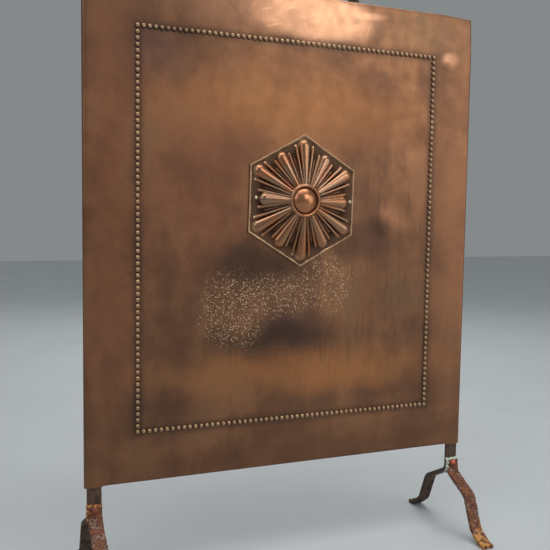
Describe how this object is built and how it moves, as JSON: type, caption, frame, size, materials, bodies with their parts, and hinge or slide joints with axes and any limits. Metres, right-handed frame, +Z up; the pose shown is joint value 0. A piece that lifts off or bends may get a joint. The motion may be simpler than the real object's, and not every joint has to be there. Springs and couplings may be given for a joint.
{
  "type": "fireplace screen",
  "caption": "Free-standing embossed copper fire screen with a beaded border and a pressed hexagonal rosette, folded round a flat iron frame on four bent iron legs.",
  "frame": {"origin": "on the floor, under the middle of the screen", "axes": "+Z up, +X to the viewer's right, the embossed face looks towards -Y"},
  "size_m": [0.5102, 0.176, 0.739],
  "materials": {
    "copper_sheet": "aged copper with a brown patina",
    "copper_rosette": "aged copper, rubbed bright on the high parts",
    "pin_metal": "tinned pin, verdigris round it",
    "dark_iron": "blackened wrought iron",
    "rusted_iron": "rusted wrought iron",
    "copper_rivet": "red copper",
    "braze": "rough braze with pale green crust"
  },
  "bodies": {
    "root": {"copper_panel": "copper_sheet", "rosette_plaque": "copper_rosette", "rosette_pins": "pin_metal", "left_upright": "dark_iron", "right_upright": "dark_iron", "top_rail": "dark_iron", "bottom_rail": "dark_iron", "frame_corner_rivets": "dark_iron", "left_front_leg": "rusted_iron", "right_front_leg": "rusted_iron", "leg_rivets": "copper_rivet", "left_leg_braze": "braze", "right_leg_braze": "braze", "carrying_handle": "dark_iron", "handle_rivets": "dark_iron"}
  },
  "joints": []
}
